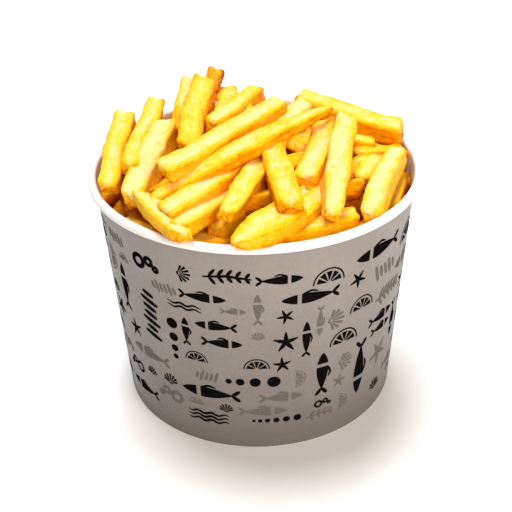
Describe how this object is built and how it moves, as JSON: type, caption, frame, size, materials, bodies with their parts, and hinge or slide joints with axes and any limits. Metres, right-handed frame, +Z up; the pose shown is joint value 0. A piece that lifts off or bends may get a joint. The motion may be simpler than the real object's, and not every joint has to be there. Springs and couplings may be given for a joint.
{
  "type": "french fries in a paper tub",
  "caption": "Heap of thick-cut french fries in a round, tapered paperboard tub with a rolled rim and a recessed base.",
  "frame": {"origin": "centre of the tub's foot, on the surface it stands on", "axes": "+Z up the tub's axis, -Y towards the front of the heap as the picture shows it, +X to the right"},
  "size_m": [0.117, 0.117, 0.1087],
  "materials": {
    "printed_paperboard": "matt coated board, warm white outside and white on the rolled rim, with scattered black and grey print",
    "base_paperboard": "plain matt board",
    "fried_potato": "pale yellow to golden fried crust with a thin film of oil, browner at the cut edges"
  },
  "bodies": {
    "root": {"tub_wall": "printed_paperboard", "tub_base": "base_paperboard", "fries": "fried_potato"}
  },
  "joints": []
}
